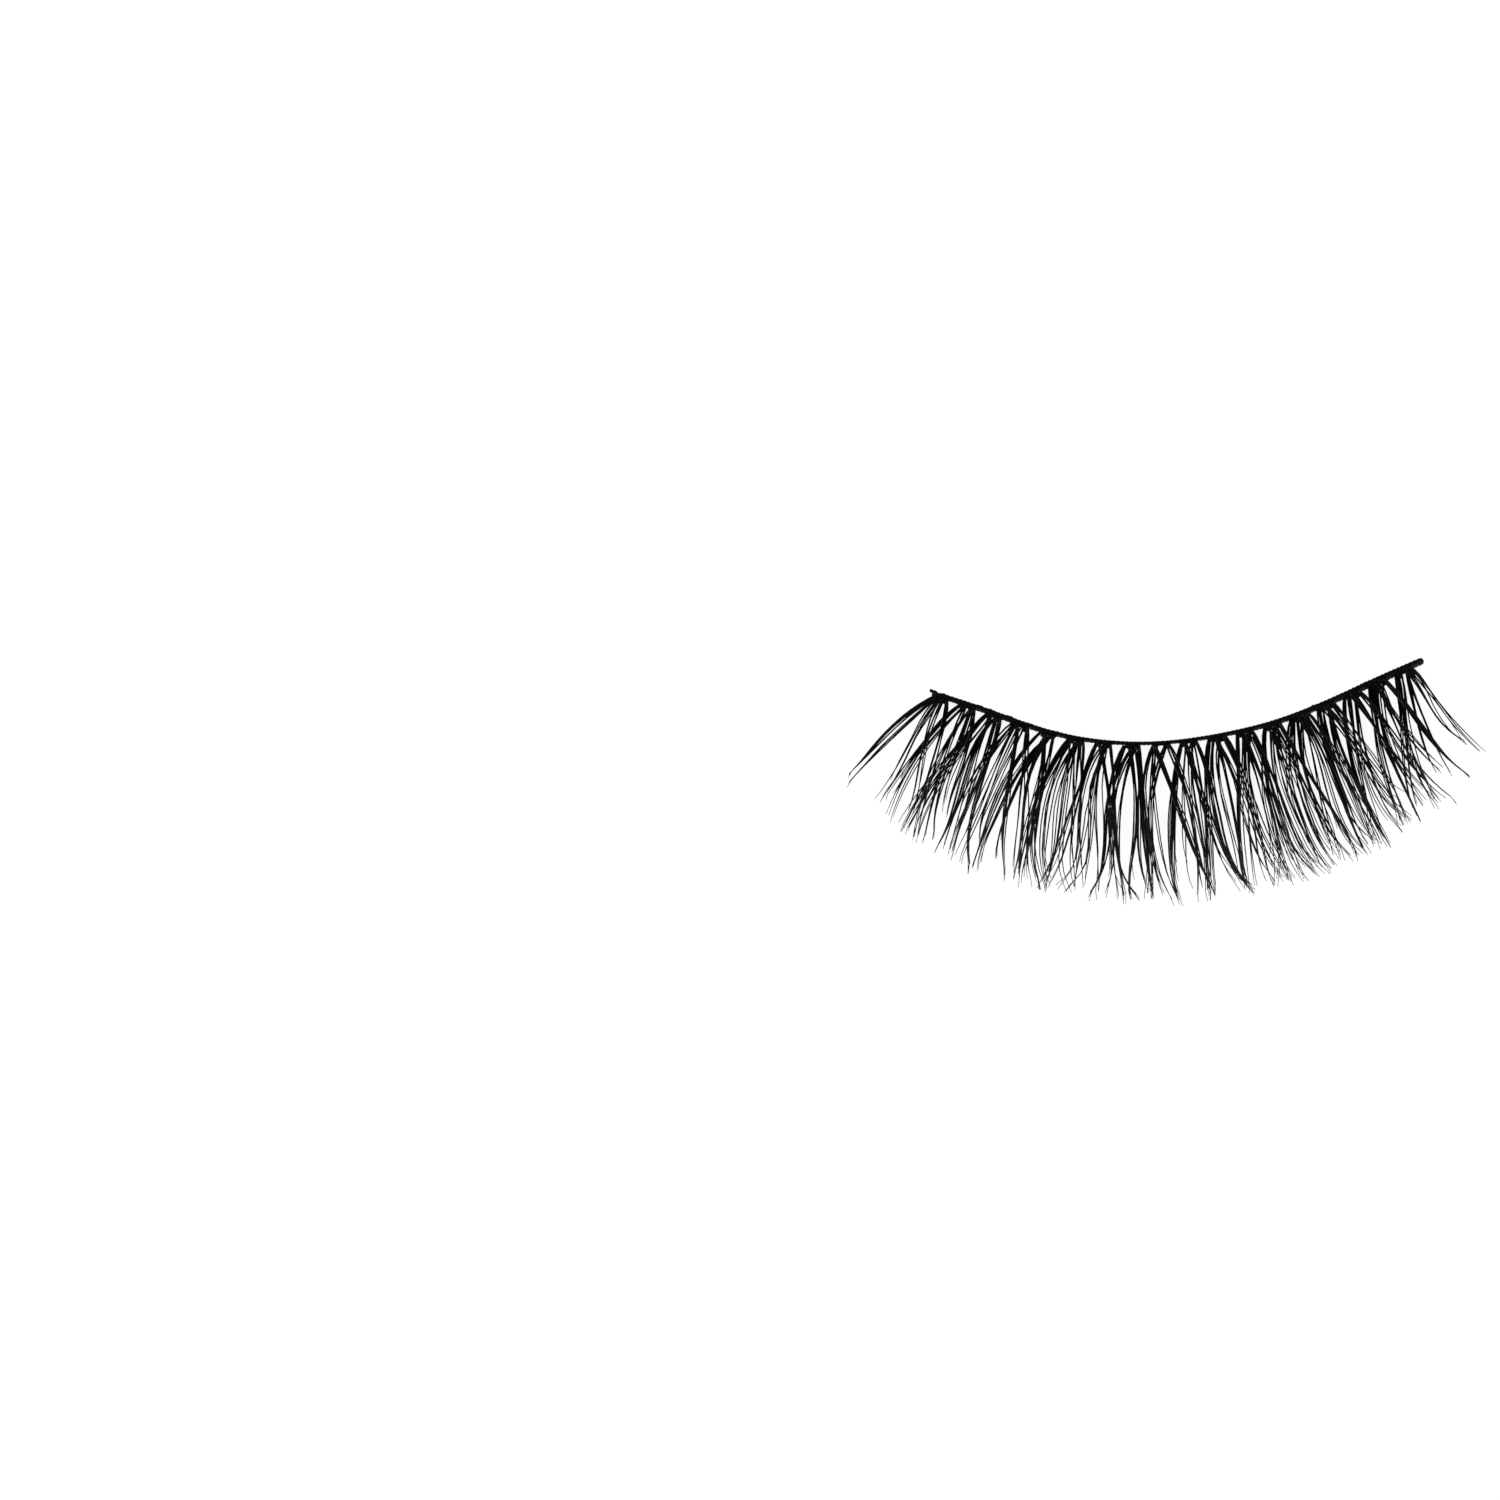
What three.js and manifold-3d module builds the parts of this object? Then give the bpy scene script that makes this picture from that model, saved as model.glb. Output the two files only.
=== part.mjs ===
// One false eyelash strip, lying on a table with its lashes curling up.
// A thin black band stands on its edge and follows a shallow curve, like a closed eyelid.
// Hand-tied tufts sit side by side along its outer edge. Each tuft has a glued root bar,
// two knots and four locks of lashes, which cross the locks of the tufts beside it.
// Millimetres and degrees. +Z is up, +X runs along the band from the eye's inner corner
// to its outer corner, and the lashes point to -Y. The origin is on the table, under the
// point of the band where it runs parallel to X.
import * as THREE from "three";
import { mergeVertices } from "three/addons/utils/BufferGeometryUtils.js";
import Module from "manifold-3d";

const wasm = await Module();
wasm.setup();
const degree = Math.PI / 180;

// Band: a ribbon on its edge, thin at the middle and wider towards both ends.
const bandLength = 32.3;
const bandHeight = 0.42;
const bandWidthMiddle = 0.18;
const bandWidthInnerEnd = 0.3;
const bandWidthOuterEnd = 0.38;
const bandInnerTail = 0.82; // free thread before the middle of the first tuft
const bandOuterTail = 1.42; // free thread after the middle of the last tuft
const bandFacetLength = 0.8;
const bandPointLength = 0.45; // the inner end is cut to a slanting point
const bandRoundLength = 0.14; // the outer end is rounded off

// The band's heading, in degrees from +X, by its distance from the level point.
// Distances are shares of the band's length.
const levelPointShare = 0.418;
const bandHeadings = [
  { from: -0.42, heading: -16.5 },
  { from: -0.26, heading: -20.5 },
  { from: -0.175, heading: -15.5 },
  { from: -0.1, heading: -8 },
  { from: 0.1, heading: 8 },
  { from: 0.22, heading: 13.5 },
  { from: 0.31, heading: 20.5 },
  { from: 0.42, heading: 25 },
  { from: 0.58, heading: 23 },
];

// Tuft: root bar and knots.
const seatGap = 0.04; // between the band and each tuft's root bar
const rootBarLength = 1.04; // along the band
const rootBarDepth = 0.2; // away from the band
const knotSpacing = 0.62; // between the middles of a tuft's two knots
const knotWidth = 0.36;
const knotDepth = 0.46;
const knotHeight = 0.39;
const knotTaper = 0.84; // far end of a knot, as a share of its near end
const knotSides = 6;

// Lock: a flat bundle of lashes that tapers to its tip.
const lashReach = 9.95; // the longest lock's length seen from above
const lashRise = 4.6; // tip height of the lowest layer of the longest lock
const bellyReach = 3.4; // how far the lashes lie on the table before they curl up
const lockWidth = 0.38;
const lockThickness = 0.09;
const lockSwing = 20; // degrees by which a lock leaves its knot wider than its lean
const layerSpread = 0.04; // extra height between layers for each mm away from the band
const joinTolerance = 0.004; // slivers thinner than this go where a tuft's pieces join

// Sections of a lock from root to tip. `at` is a share of its length, `width` and
// `thickness` are shares of the lock's, and `swing` is the share of lockSwing in force.
const lockSections = [
  { at: 0, width: 0.72, thickness: 1, swing: 1 },
  { at: 0.08, width: 0.72, thickness: 1, swing: 0.9 },
  { at: 0.18, width: 0.86, thickness: 0.95, swing: 0.4 },
  { at: 0.32, width: 1, thickness: 0.9, swing: 0 },
  { at: 0.5, width: 1, thickness: 0.8, swing: -0.15 },
  { at: 0.68, width: 0.9, thickness: 0.7, swing: -0.15 },
  { at: 0.85, width: 0.6, thickness: 0.6, swing: 0.1 },
  { at: 1, width: 0.18, thickness: 0.45, swing: 0.3 },
];

// The four locks of a tuft, from the lowest layer up. `knot` is the knot that it leaves,
// -1 for the inner one and 1 for the outer, and `side` the way that it leans. `swing` is
// its share of lockSwing.
const lockKinds = [
  { lean: "innerWide", reach: "innerReach", knot: -1, side: -1, swing: 1 },
  { lean: "innerNear", reach: "innerReach", knot: 1, side: -1, swing: 0.8 },
  { lean: "outerNear", reach: "outerReach", knot: -1, side: 1, swing: 0.8 },
  { lean: "outerWide", reach: "outerReach", knot: 1, side: 1, swing: 1 },
];
const layerPitchRoot = bandHeight / lockKinds.length;

// One row for each tuft, from the inner corner out. Leans are degrees from the band's
// normal, positive towards the outer corner. Reaches are shares of lashReach.
const tufts = [
  { innerReach: 0.73, outerReach: 0.82, innerWide: -28, innerNear: -15, outerNear: -8, outerWide: 1 },
  { innerReach: 0.86, outerReach: 0.88, innerWide: -17, innerNear: -11, outerNear: -2, outerWide: 3 },
  { innerReach: 0.9, outerReach: 0.92, innerWide: -13, innerNear: -8, outerNear: 0, outerWide: 3 },
  { innerReach: 0.95, outerReach: 0.97, innerWide: -12, innerNear: -6, outerNear: 4, outerWide: 8 },
  { innerReach: 0.98, outerReach: 0.98, innerWide: -13, innerNear: -5, outerNear: 4, outerWide: 8 },
  { innerReach: 0.99, outerReach: 1, innerWide: -11, innerNear: -5, outerNear: 5, outerWide: 9 },
  { innerReach: 1, outerReach: 1, innerWide: -12, innerNear: -6, outerNear: 6, outerWide: 8 },
  { innerReach: 1, outerReach: 1, innerWide: -10, innerNear: -6, outerNear: 3, outerWide: 7 },
  { innerReach: 1, outerReach: 1, innerWide: -12, innerNear: -6, outerNear: 5, outerWide: 9 },
  { innerReach: 1, outerReach: 1, innerWide: -13, innerNear: -7, outerNear: 2, outerWide: 6 },
  { innerReach: 1, outerReach: 1, innerWide: -11, innerNear: -7, outerNear: 2, outerWide: 6 },
  { innerReach: 1, outerReach: 1, innerWide: -13, innerNear: -8, outerNear: 2, outerWide: 6 },
  { innerReach: 1, outerReach: 0.99, innerWide: -11, innerNear: -7, outerNear: 0, outerWide: 4 },
  { innerReach: 0.99, outerReach: 0.98, innerWide: -14, innerNear: -8, outerNear: 1, outerWide: 4 },
  { innerReach: 0.98, outerReach: 0.97, innerWide: -14, innerNear: -9, outerNear: -3, outerWide: 0 },
  { innerReach: 0.98, outerReach: 0.96, innerWide: -12, innerNear: -9, outerNear: -3, outerWide: 0 },
  { innerReach: 0.93, outerReach: 0.84, innerWide: -13, innerNear: -8, outerNear: 0, outerWide: 12 },
  { innerReach: 0.88, outerReach: 0.76, innerWide: -14, innerNear: -8, outerNear: 4, outerWide: 15 },
];

const innerEnd = -bandLength * levelPointShare;
const outerEnd = bandLength * (1 - levelPointShare);

// Straight-line reading of a table's column.
function readTable(rows, key, column, value) {
  const next = rows.findIndex((row) => row[key] >= value);
  if (next === 0) return rows[0][column];
  if (next < 0) return rows.at(-1)[column];
  const [a, b] = [rows[next - 1], rows[next]];
  return THREE.MathUtils.mapLinear(value, a[key], b[key], a[column], b[column]);
}

function headingAt(distance) {
  return readTable(bandHeadings, "from", "heading", distance / bandLength);
}

// The band's middle line as closely spaced points, walked out from the level point.
const lineSteps = 400;
function walk(end) {
  const points = [{ s: 0, x: 0, y: 0 }];
  const step = end / lineSteps;
  for (let i = 1; i <= lineSteps; i++) {
    const turn = headingAt((i - 0.5) * step) * degree;
    const last = points.at(-1);
    points.push({
      s: i * step,
      x: last.x + step * Math.cos(turn),
      y: last.y + step * Math.sin(turn),
    });
  }
  return points;
}
const innerHalf = walk(innerEnd);
const outerHalf = walk(outerEnd);
const bandLine = [...innerHalf.slice(1).reverse(), ...outerHalf];

// A point of the middle line, with the unit vectors along the band and away from the lid.
function bandAt(s) {
  const half = s < 0 ? innerHalf : outerHalf;
  const place = Math.min(Math.abs(s / half.at(-1).s), 1) * lineSteps;
  const low = Math.min(Math.floor(place), lineSteps - 1);
  const turn = headingAt(s) * degree;
  return {
    point: new THREE.Vector2(
      THREE.MathUtils.lerp(half[low].x, half[low + 1].x, place - low),
      THREE.MathUtils.lerp(half[low].y, half[low + 1].y, place - low),
    ),
    along: new THREE.Vector2(Math.cos(turn), Math.sin(turn)),
    out: new THREE.Vector2(Math.sin(turn), -Math.cos(turn)),
  };
}

function bandWidthAt(s) {
  const end = s < 0 ? bandWidthInnerEnd : bandWidthOuterEnd;
  const share = Math.min(Math.abs(s / (s < 0 ? innerEnd : outerEnd)), 1);
  return THREE.MathUtils.lerp(bandWidthMiddle, end, share ** 1.5);
}

function distanceToBand(point) {
  return Math.min(...bandLine.map((p) => Math.hypot(point.x - p.x, point.y - p.y)));
}

// Places along the band where its facets meet. One facet is centred on the level point.
function facetPlaces() {
  const from = innerEnd + bandPointLength;
  const to = outerEnd - bandRoundLength;
  const places = [from];
  for (let i = Math.ceil(from / bandFacetLength); i <= to / bandFacetLength + 1; i++) {
    const s = (i - 0.5) * bandFacetLength;
    if (s > from && s < to) places.push(s);
  }
  return [...places, to];
}

// Both ends narrow over their last stretch: the inner one to a corner on the lid side.
function bandGeometry() {
  const places = facetPlaces();
  const edge = (s, side, share = 1) => {
    const { point, out } = bandAt(s);
    return point.clone().addScaledVector(out, (side * share * bandWidthAt(s)) / 2);
  };
  const outline = [
    ...places.map((s) => edge(s, 1)),
    edge(outerEnd, 1, 0.45),
    edge(outerEnd, -1, 0.45),
    ...places.map((s) => edge(s, -1)).reverse(),
    edge(innerEnd, -1),
    edge(innerEnd, -1, 0.5),
  ];
  return new THREE.ExtrudeGeometry(new THREE.Shape(outline), {
    depth: bandHeight,
    bevelEnabled: false,
  });
}

// Height of the middle of a lock in layer 0, 1, 2 or 3, by its distance from the band.
function layerHeight(layer, distance) {
  const curl = Math.max(distance - bellyReach, 0) / (lashReach - bellyReach);
  const pitch = layerPitchRoot + layerSpread * distance;
  return layerPitchRoot / 2 + lashRise * curl ** 2 + layer * pitch;
}

// Middle line of a lock, from inside the root bar to its tip, at its layer's height.
function lockPath(tuft, place, kind, layer) {
  const start = bandAt(place + (kind.knot * knotSpacing) / 2);
  const rootOut = bandWidthAt(place) / 2 + seatGap + rootBarDepth / 2;
  const length = tuft[kind.reach] * lashReach - rootOut;
  const plan = start.point.clone().addScaledVector(start.out, rootOut);
  return lockSections.map((section, i) => {
    if (i > 0) {
      const before = lockSections[i - 1];
      const swing = ((before.swing + section.swing) / 2) * kind.swing * lockSwing;
      const turn = (headingAt(place) + tuft[kind.lean] + kind.side * swing) * degree;
      const step = (section.at - before.at) * length;
      plan.x += step * Math.sin(turn);
      plan.y -= step * Math.cos(turn);
    }
    return new THREE.Vector3(plan.x, plan.y, layerHeight(layer, distanceToBand(plan)));
  });
}

// Closed body through four-cornered sections along a path, wide sideways, thin upwards.
function lockGeometry(path) {
  const corners = [
    { across: 1, up: 1 },
    { across: -1, up: 1 },
    { across: -1, up: -1 },
    { across: 1, up: -1 },
  ];
  const sides = corners.length;
  const positions = [];
  const faces = [];
  path.forEach((point, i) => {
    const before = path[Math.max(i - 1, 0)];
    const after = path[Math.min(i + 1, path.length - 1)];
    const along = after.clone().sub(before).normalize();
    const sideways = new THREE.Vector3(-along.y, along.x, 0).normalize();
    const upright = along.clone().cross(sideways);
    const halfWidth = (lockSections[i].width * lockWidth) / 2;
    const halfThickness = (lockSections[i].thickness * lockThickness) / 2;
    for (const corner of corners) {
      const place = point
        .clone()
        .addScaledVector(sideways, corner.across * halfWidth)
        .addScaledVector(upright, corner.up * halfThickness);
      positions.push(place.x, place.y, place.z);
    }
    if (i === 0) return;
    for (let k = 0; k < sides; k++) {
      const a = (i - 1) * sides + k;
      const b = (i - 1) * sides + ((k + 1) % sides);
      faces.push(a, b, b + sides, a, b + sides, a + sides);
    }
  });
  const end = (path.length - 1) * sides;
  for (let k = 1; k + 1 < sides; k++) {
    faces.push(0, k + 1, k, end, end + k, end + k + 1);
  }
  const geometry = new THREE.BufferGeometry();
  geometry.setAttribute("position", new THREE.Float32BufferAttribute(positions, 3));
  geometry.setIndex(faces);
  return geometry;
}

// Root bar and knots, square to the band. The bar stands the full height of the band.
function headGeometries(place) {
  const { point, along, out } = bandAt(place);
  const toPart = new THREE.Matrix4().makeBasis(
    new THREE.Vector3(along.x, along.y, 0),
    new THREE.Vector3(-out.x, -out.y, 0),
    new THREE.Vector3(0, 0, 1),
  );
  toPart.setPosition(point.x, point.y, bandHeight / 2);
  const barMiddle = -bandWidthAt(place) / 2 - seatGap - rootBarDepth / 2;
  const bar = new THREE.BoxGeometry(rootBarLength, rootBarDepth, bandHeight);
  bar.translate(0, barMiddle, 0);
  const knots = [-1, 1].map((side) => {
    const knot = new THREE.CylinderGeometry(0.5, 0.5 * knotTaper, knotDepth, knotSides);
    knot.scale(knotWidth, 1, knotHeight);
    knot.translate((side * knotSpacing) / 2, barMiddle - knotDepth / 2, 0);
    return knot;
  });
  return [bar, ...knots].map((piece) => piece.applyMatrix4(toPart));
}

function solidOf(geometry) {
  const bare = geometry.clone();
  bare.deleteAttribute("normal");
  bare.deleteAttribute("uv");
  const merged = mergeVertices(bare, 1e-4);
  return new wasm.Manifold(
    new wasm.Mesh({
      numProp: 3,
      vertProperties: new Float32Array(merged.attributes.position.array),
      triVerts: new Uint32Array(merged.index.array),
    }),
  );
}

function geometryOf(solid) {
  const mesh = solid.getMesh();
  const geometry = new THREE.BufferGeometry();
  geometry.setAttribute("position", new THREE.BufferAttribute(mesh.vertProperties, 3));
  geometry.setIndex(new THREE.BufferAttribute(mesh.triVerts, 1));
  geometry.computeVertexNormals();
  return geometry;
}

function tuftGeometry(tuft, place) {
  const locks = lockKinds.map((kind, layer) =>
    lockGeometry(lockPath(tuft, place, kind, layer)),
  );
  return geometryOf(
    [...headGeometries(place), ...locks]
      .map(solidOf)
      .reduce((joined, piece) => joined.add(piece))
      .simplify(joinTolerance),
  );
}

const threadBlack = new THREE.MeshStandardMaterial({
  color: 0x0b0b0c,
  roughness: 0.45,
  metalness: 0,
});
const fibreBlack = new THREE.MeshStandardMaterial({
  color: 0x08080a,
  roughness: 0.35,
  metalness: 0,
});

const strip = new THREE.Group();
const band = new THREE.Mesh(bandGeometry(), threadBlack);
band.name = "band";
strip.add(band);

const tuftPitch = (bandLength - bandInnerTail - bandOuterTail) / (tufts.length - 1);
tufts.forEach((tuft, i) => {
  const place = innerEnd + bandInnerTail + i * tuftPitch;
  const mesh = new THREE.Mesh(tuftGeometry(tuft, place), fibreBlack);
  mesh.name = `tuft_${String(i + 1).padStart(2, "0")}`;
  strip.add(mesh);
});

export default strip;
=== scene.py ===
import math
import bpy
import numpy as np
from mathutils import Matrix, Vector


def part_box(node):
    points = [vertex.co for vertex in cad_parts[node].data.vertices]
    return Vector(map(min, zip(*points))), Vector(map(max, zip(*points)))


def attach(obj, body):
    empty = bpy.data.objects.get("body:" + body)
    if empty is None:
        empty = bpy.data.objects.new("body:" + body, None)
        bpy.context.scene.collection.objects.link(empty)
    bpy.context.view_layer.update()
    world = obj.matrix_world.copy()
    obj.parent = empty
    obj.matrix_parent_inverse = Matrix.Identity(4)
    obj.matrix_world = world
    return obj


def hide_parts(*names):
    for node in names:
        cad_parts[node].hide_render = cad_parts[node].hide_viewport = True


# One false eyelash strip, seen from straight above. Shapes are worked out in millimetres
# and brought to metres at the end. The lashes point to -Y and curl up to +Z.
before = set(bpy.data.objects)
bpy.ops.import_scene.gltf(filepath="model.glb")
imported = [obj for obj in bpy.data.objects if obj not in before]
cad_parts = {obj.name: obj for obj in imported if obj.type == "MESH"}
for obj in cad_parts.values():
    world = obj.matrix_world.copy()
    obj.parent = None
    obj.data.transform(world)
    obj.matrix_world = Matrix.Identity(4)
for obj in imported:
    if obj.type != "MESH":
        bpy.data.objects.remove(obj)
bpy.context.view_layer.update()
mm = 0.001
dice = np.random.default_rng(18)
print("frame loaded")

view = {
    "pixelsPerMm": 16.0,  # in a picture 1500 pixels wide
    "pictureSide": 1500,
    "originPixel": (1137.5, 743.5),  # where the part's origin lies in that picture
    "height": 1200.0,  # mm, a long lens, so that the curled tips aren't pushed outwards
    "sensor": 36.0,
    "clip": (0.01, 20.0),  # metres, the nearest and the furthest that it sees
}


def setCamera():
    side = view["pictureSide"] / view["pixelsPerMm"]
    across = (view["pictureSide"] / 2 - view["originPixel"][0]) / view["pixelsPerMm"]
    up = (view["originPixel"][1] - view["pictureSide"] / 2) / view["pixelsPerMm"]
    bpy.ops.object.camera_add(location=(across * mm, up * mm, view["height"] * mm),
                              rotation=(0, 0, 0))
    camera = bpy.context.object
    camera.data.sensor_width = view["sensor"]
    camera.data.lens = view["sensor"] * view["height"] / side
    camera.data.clip_start, camera.data.clip_end = view["clip"]
    bpy.context.scene.camera = camera


setCamera()


# Colours and materials

def toLinear(hexColour):  # sRGB hex to the linear colour that a shader takes
    parts = [int(hexColour[i:i + 2], 16) / 255 for i in (1, 3, 5)]
    return [p / 12.92 if p <= 0.04045 else ((p + 0.055) / 1.055) ** 2.4 for p in parts] + [1]


def addNode(tree, kind, settings, links):  # one node with its settings and what it is fed
    node = tree.nodes.new(kind)
    for name, value in settings.items():
        if isinstance(name, int) or name in node.inputs:
            node.inputs[name].default_value = value
        else:
            setattr(node, name, value)
    for name, source in links.items():
        tree.links.new(source, node.inputs[name])
    return node


def newMaterial(name):
    material = bpy.data.materials.new(name)
    material.use_nodes = True
    material.node_tree.nodes.clear()
    return material, material.node_tree


# PBT lash fibre, drawn and heat-curled: jet black with a soft silky gloss along each lash,
# and a little difference in black from lash to lash.
fibreLook = {
    "black": "#020203",
    "softBlack": "#080809",  # the palest lash
    "ior": 1.5,
    "specular": 0.25,
    "roughLow": 0.3,
    "roughHigh": 0.42,
    "grain": 0.05,  # mm between marks of drawing, ten times as coarse as real ones, so that they show
    "grainDetail": 2.0,
    "grainDepth": 0.004,  # mm
    "grainBump": 0.25,
}


def fibreMaterial():
    material, tree = newMaterial("pbtFibreJetBlack")
    shade = addNode(tree, "ShaderNodeAttribute", {"attribute_name": "lashShade"}, {})
    place = addNode(tree, "ShaderNodeTexCoord", {}, {})
    grain = addNode(tree, "ShaderNodeTexNoise",
                    {"Scale": 1 / (fibreLook["grain"] * mm), "Detail": fibreLook["grainDetail"]},
                    {"Vector": place.outputs["Object"]})
    colour = addNode(tree, "ShaderNodeMix",
                     {"data_type": "RGBA", 6: toLinear(fibreLook["black"]),
                      7: toLinear(fibreLook["softBlack"])},
                     {0: shade.outputs["Fac"]})
    rough = addNode(tree, "ShaderNodeMapRange",
                    {"To Min": fibreLook["roughLow"], "To Max": fibreLook["roughHigh"]},
                    {"Value": grain.outputs["Fac"]})
    bump = addNode(tree, "ShaderNodeBump",
                   {"Strength": fibreLook["grainBump"], "Distance": fibreLook["grainDepth"] * mm},
                   {"Height": grain.outputs["Fac"]})
    shader = addNode(tree, "ShaderNodeBsdfPrincipled",
                     {"IOR": fibreLook["ior"], "Specular IOR Level": fibreLook["specular"]},
                     {"Base Color": colour.outputs[2], "Roughness": rough.outputs["Result"],
                      "Normal": bump.outputs["Normal"]})
    addNode(tree, "ShaderNodeOutputMaterial", {}, {"Surface": shader.outputs["BSDF"]})
    return material


# Cotton thread soaked in black lash glue: dull black with satin patches where glue stands.
threadLook = {
    "black": "#020202",
    "worn": "#080808",  # where the cotton isn't soaked through
    "ior": 1.47,
    "specular": 0.25,
    "roughLow": 0.4,
    "roughHigh": 0.75,
    "fuzz": 0.03,  # mm between cotton fibres, twice as coarse as real ones, so that they show
    "fuzzDetail": 3.0,
    "fuzzDepth": 0.01,  # mm
    "fuzzBump": 0.5,
    "gluePatch": 0.6,  # mm between patches of standing glue
    "patchDetail": 2.0,
    "patchRange": (0.35, 0.65),  # noise values where glue stands and where the cotton is bare
}


def threadMaterial():
    material, tree = newMaterial("gluedCottonThread")
    place = addNode(tree, "ShaderNodeTexCoord", {}, {})
    fuzz = addNode(tree, "ShaderNodeTexNoise",
                   {"Scale": 1 / (threadLook["fuzz"] * mm), "Detail": threadLook["fuzzDetail"]},
                   {"Vector": place.outputs["Object"]})
    patch = addNode(tree, "ShaderNodeTexNoise",
                    {"Scale": 1 / (threadLook["gluePatch"] * mm), "Detail": threadLook["patchDetail"]},
                    {"Vector": place.outputs["Object"]})
    colour = addNode(tree, "ShaderNodeMix",
                     {"data_type": "RGBA", 6: toLinear(threadLook["black"]),
                      7: toLinear(threadLook["worn"])},
                     {0: fuzz.outputs["Fac"]})
    wet, bare = threadLook["patchRange"]
    rough = addNode(tree, "ShaderNodeMapRange",
                    {"From Min": wet, "From Max": bare,
                     "To Min": threadLook["roughLow"], "To Max": threadLook["roughHigh"]},
                    {"Value": patch.outputs["Fac"]})
    bump = addNode(tree, "ShaderNodeBump",
                   {"Strength": threadLook["fuzzBump"], "Distance": threadLook["fuzzDepth"] * mm},
                   {"Height": fuzz.outputs["Fac"]})
    shader = addNode(tree, "ShaderNodeBsdfPrincipled",
                     {"IOR": threadLook["ior"], "Specular IOR Level": threadLook["specular"]},
                     {"Base Color": colour.outputs[2], "Roughness": rough.outputs["Result"],
                      "Normal": bump.outputs["Normal"]})
    addNode(tree, "ShaderNodeOutputMaterial", {}, {"Surface": shader.outputs["BSDF"]})
    return material


fibreBlack = fibreMaterial()
threadBlack = threadMaterial()
print("materials ready")


# The line that the band follows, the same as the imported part's. A place near the strip is
# given as its distance along this line from the level point, and its distance out from it.

bandLine = {
    "length": 32.3,
    "levelShare": 0.418,  # share of the length before the point where the band runs along X
    "innerTail": 0.82,  # band before the middle of the first tuft
    "outerTail": 1.42,
    "straightTail": 8.0,  # mm by which the line goes on straight past both ends
    "points": 2401,
    # Rows: place as a share of the length from the level point, heading in degrees from +X
    "headings": [
        (-0.42, -16.5), (-0.26, -20.5), (-0.175, -15.5), (-0.1, -8), (0.1, 8),
        (0.22, 13.5), (0.31, 20.5), (0.42, 25), (0.58, 23),
    ],
    # Rows: place as a share of the length from the level point, width, and how far the middle
    # of the width lies to the lid's side
    "widths": [
        (-0.418, 0.37, 0.01), (-0.25, 0.4, 0.01), (-0.1, 0.32, 0.005), (0, 0.25, 0.005),
        (0.15, 0.3, -0.03), (0.35, 0.43, -0.08), (0.5, 0.52, -0.11), (0.582, 0.47, -0.09),
    ],
}
innerEnd = -bandLine["length"] * bandLine["levelShare"]
outerEnd = innerEnd + bandLine["length"]
bandLow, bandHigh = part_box("band")
bandHeight = (bandHigh.z - bandLow.z) / mm


def headingAt(along):
    shares, degrees = zip(*bandLine["headings"])
    return np.radians(np.interp(np.asarray(along) / bandLine["length"], shares, degrees))


def bandWidthAt(along):
    shares, widths, middles = zip(*bandLine["widths"])
    share = np.asarray(along) / bandLine["length"]
    return np.interp(share, shares, widths), np.interp(share, shares, middles)


linePlaces = np.linspace(innerEnd - bandLine["straightTail"], outerEnd + bandLine["straightTail"],
                         bandLine["points"])
linePace = linePlaces[1] - linePlaces[0]
lineHeadings = headingAt((linePlaces[1:] + linePlaces[:-1]) / 2)
lineX = np.concatenate([[0], np.cumsum(np.cos(lineHeadings) * linePace)])
lineY = np.concatenate([[0], np.cumsum(np.sin(lineHeadings) * linePace)])
lineX -= np.interp(0, linePlaces, lineX)
lineY -= np.interp(0, linePlaces, lineY)


def planPoint(along, out):
    turn = headingAt(along)
    x = np.interp(along, linePlaces, lineX) + out * np.sin(turn)
    y = np.interp(along, linePlaces, lineY) - out * np.cos(turn)
    return np.stack([x, y], -1)


# Small tools

def deselectAll():
    if bpy.context.object and bpy.context.object.mode != "OBJECT":
        bpy.ops.object.mode_set(mode="OBJECT")
    bpy.ops.object.select_all(action="DESELECT")


def onlyActive(piece):
    deselectAll()
    piece.select_set(True)
    bpy.context.view_layer.objects.active = piece


def settle(piece):  # place, turn and scale go into the mesh
    onlyActive(piece)
    bpy.ops.object.transform_apply(location=True, rotation=True, scale=True)
    return piece


def applyModifiers(piece):
    onlyActive(piece)
    for modifier in list(piece.modifiers):
        bpy.ops.object.modifier_apply(modifier=modifier.name)


def joinPieces(pieces, name):
    deselectAll()
    for piece in pieces:
        piece.select_set(True)
    bpy.context.view_layer.objects.active = pieces[0]
    bpy.ops.object.join()
    bpy.context.object.name = name
    bpy.context.object.data.name = name
    return bpy.context.object


def pointsOf(mesh):
    points = np.empty(len(mesh.vertices) * 3)
    mesh.vertices.foreach_get("co", points)
    return points.reshape(-1, 3)


def movePoints(mesh, points):
    mesh.vertices.foreach_set("co", points.ravel())
    mesh.update()


def finishPiece(piece, material, node):  # to metres, smooth, painted, on the part's body
    piece.data.transform(Matrix.Scale(mm, 4))
    onlyActive(piece)
    bpy.ops.object.shade_smooth()
    piece.data.materials.clear()
    piece.data.materials.append(material)
    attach(piece, "root")
    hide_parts(node)


# Band: three two-ply cotton threads, stacked and soaked in glue, that spread where it is wide

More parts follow.
